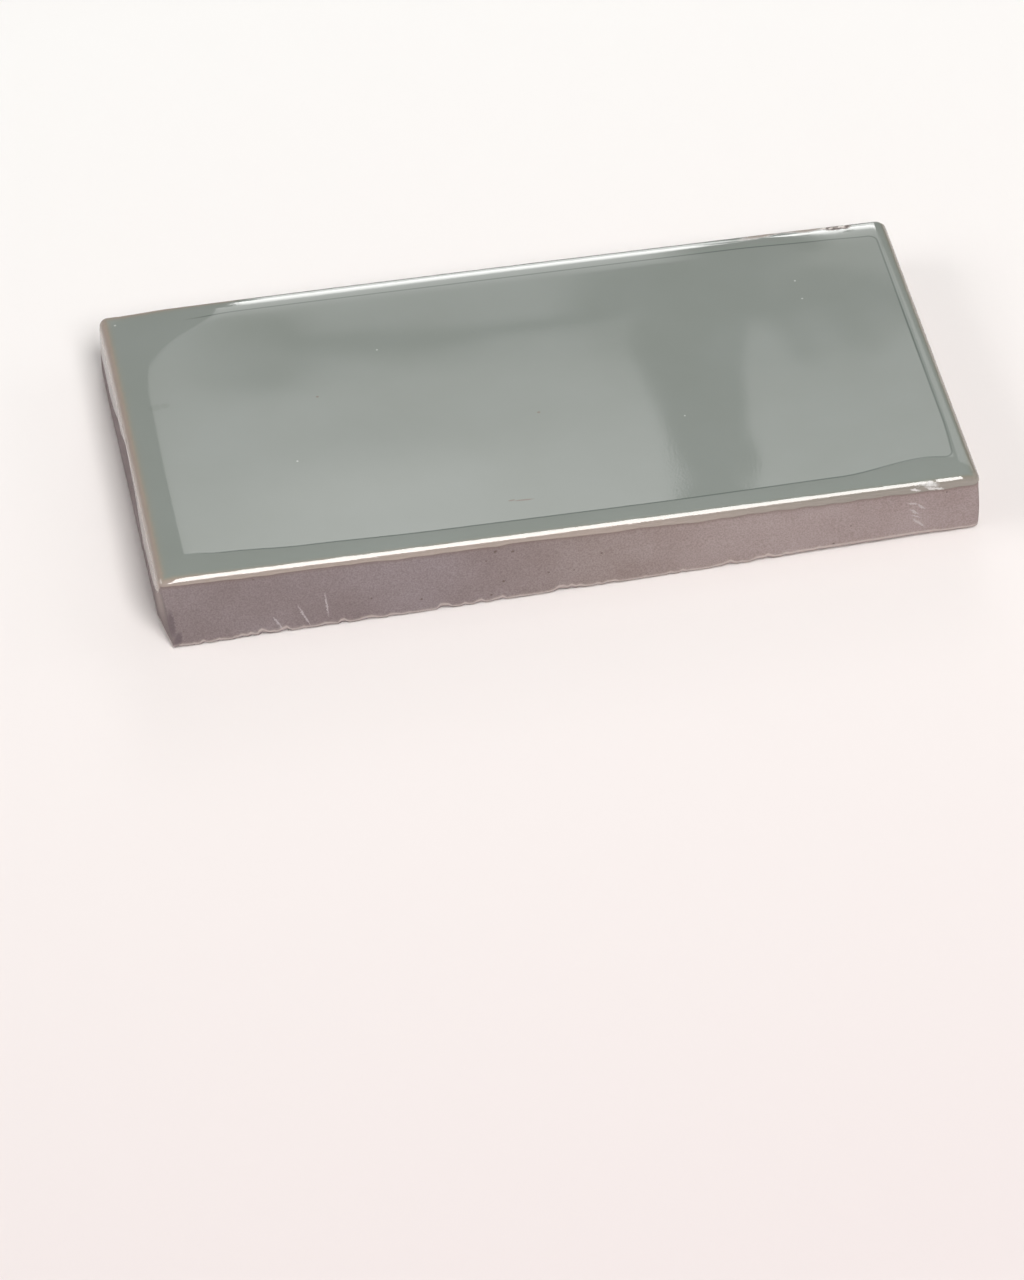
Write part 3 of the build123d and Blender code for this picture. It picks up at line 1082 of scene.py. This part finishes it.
def panel(name, up_deg, sides, glow, profile=EVEN, lean=0.0, round_deg=0.0):
    """A soft panel seen up_deg over the face and round_deg about it.

    Its sides are left, right, bottom and top. Its glow is the brightness at the bottom and at the
    top, where 1 looks white. The profile runs from left to right, and the lean shifts it at the
    bottom, as a share of the width.
    """
    left, right, bottom, top = sides
    up = radians(up_deg)
    turn = Matrix.Rotation(radians(round_deg), 3, "Z")
    way = turn @ Vector((0, cos(up), sin(up)))
    rightward = turn @ Vector((1, 0, 0))
    upward = turn @ Vector((0, -sin(up), cos(up)))

    light = bpy.data.lights.new(name, "AREA")
    light.shape = "RECTANGLE"
    light.size, light.size_y = (right - left) * MM, (top - bottom) * MM
    # With this power a panel of any size looks white at a brightness of 1
    light.energy = pi * light.size * light.size_y
    light.use_nodes = True
    tree = light.node_tree
    tree.nodes.clear()
    spot = node(tree, "ShaderNodeNewGeometry").outputs["Parametric"]
    spot = node(tree, "ShaderNodeSeparateXYZ", {"Vector": spot}).outputs
    upright = {"Value": spot["Y"], "To Min": glow[0], "To Max": glow[1]}
    upright = node(tree, "ShaderNodeMapRange", upright).outputs["Result"]
    start = {0: spot["Y"], 1: lean, 2: 1.0 - lean}
    start = node(tree, "ShaderNodeMath", start, operation="MULTIPLY_ADD").outputs["Value"]
    from_left = node(tree, "ShaderNodeMath", {0: start, 1: spot["X"]}, operation="SUBTRACT")
    across = node(tree, "ShaderNodeValToRGB", {"Fac": from_left.outputs["Value"]}, profile)
    radiance = {0: upright, 1: across.outputs["Color"]}
    radiance = node(tree, "ShaderNodeMath", radiance, operation="MULTIPLY").outputs["Value"]
    glowing = {"Color": linear(PANEL_TINT), "Strength": radiance}
    glowing = node(tree, "ShaderNodeEmission", glowing).outputs["Emission"]
    node(tree, "ShaderNodeOutputLight", {"Surface": glowing})

    lamp = bpy.data.objects.new(name, light)
    centre = FACE_MIDDLE + way * PANEL_DISTANCE
    centre += (rightward * (left + right) + upward * (bottom + top)) * MM / 2
    facing = turn @ Euler((pi / 2 - up, 0, pi)).to_matrix()
    lamp.matrix_world = Matrix.Translation(centre) @ facing.to_4x4()
    bpy.context.scene.collection.objects.link(lamp)


print("panels hang round, mm:", [round(side / MM, 2) for side in FACE_MIDDLE])

# %% Hang the lights
# The camera sees what the flat field mirrors from this far up behind it
MIRRORED_UP = 39.4
OVERHEAD_UP = 126
FILL_UP = 30
HOT_MIDDLE = [(0.0, 0.78), (0.4, 1.12), (0.65, 1.1), (1.0, 0.95)]
FADING = [(0.0, 1.1), (1.0, 0.8)]
SOFT_RIGHT = [(0.0, 0.9), (0.5, 1.0), (1.0, 0.0)]
SOFT_ENDS = [(0.0, 0.0), (0.2, 1.0), (0.8, 1.0), (1.0, 0.0)]
WALL_GAP = [(0.0, 1.0), (0.44, 1.0), (0.49, 0.0), (0.59, 0.0), (0.62, 1.0), (1.0, 1.0)]
LOW_GAP = [(0.0, 1.0), (0.495, 1.0), (0.51, 0.0), (0.58, 0.0), (0.6, 1.0), (1.0, 1.0)]

panel("overhead panel", OVERHEAD_UP, (-70, 460, -445, 475), (13.0, 13.0))
panel("back left panel", MIRRORED_UP, (20, 291, -4, 100), (0.95, 2.2), HOT_MIDDLE)
panel("back corner panel", MIRRORED_UP, (30, 128, -36, -4), (0.6, 0.95), SOFT_RIGHT)
panel("back right panel", MIRRORED_UP, (326, 480, 4, 100), (0.8, 1.4), FADING)
panel("back strip", MIRRORED_UP, (116, 270, -34, -18), (0.6, 0.6), SOFT_ENDS)
panel("back end panel", MIRRORED_UP, (339, 500, -34, -13), (0.6, 0.6), SOFT_ENDS)
panel("back wall panel", MIRRORED_UP, (88, 560, -250, -34), (3.0, 0.8), WALL_GAP, lean=-0.03)
panel("back low panel", MIRRORED_UP, (107, 570, -480, -250), (9.5, 3.0), LOW_GAP, lean=-0.05)
panel("back table panel", MIRRORED_UP, (119, 570, -720, -480), (3.5, 4.5), LOW_GAP, lean=-0.05)
panel("right panel", MIRRORED_UP, (590, 1300, -120, 200), (1.0, 1.0))
panel("left fill panel", FILL_UP, (-500, 500, -400, 400), (0.5, 5.0), round_deg=90)
panel("right fill panel", FILL_UP, (-500, 500, -400, 400), (0.8, 0.8), round_deg=-90)
print("panels:", len(bpy.data.lights))

# %% Fill in from all sides
WORLD_TINT = "#faf8f7"
WORLD_STRENGTH = 0.22

world = bpy.data.worlds.new("studio")
bpy.context.scene.world = world
world.use_nodes = True
world.node_tree.nodes.clear()
fill = {"Color": linear(WORLD_TINT), "Strength": WORLD_STRENGTH}
fill = node(world.node_tree, "ShaderNodeBackground", fill).outputs["Background"]
node(world.node_tree, "ShaderNodeOutputWorld", {"Surface": fill})
print("world:", WORLD_TINT, "at", WORLD_STRENGTH)

# %% [markdown]
# ## Finish
#
# The Standard view transform shows colours as they are written.

# %% Finish
bpy.context.scene.view_settings.view_transform = "Standard"
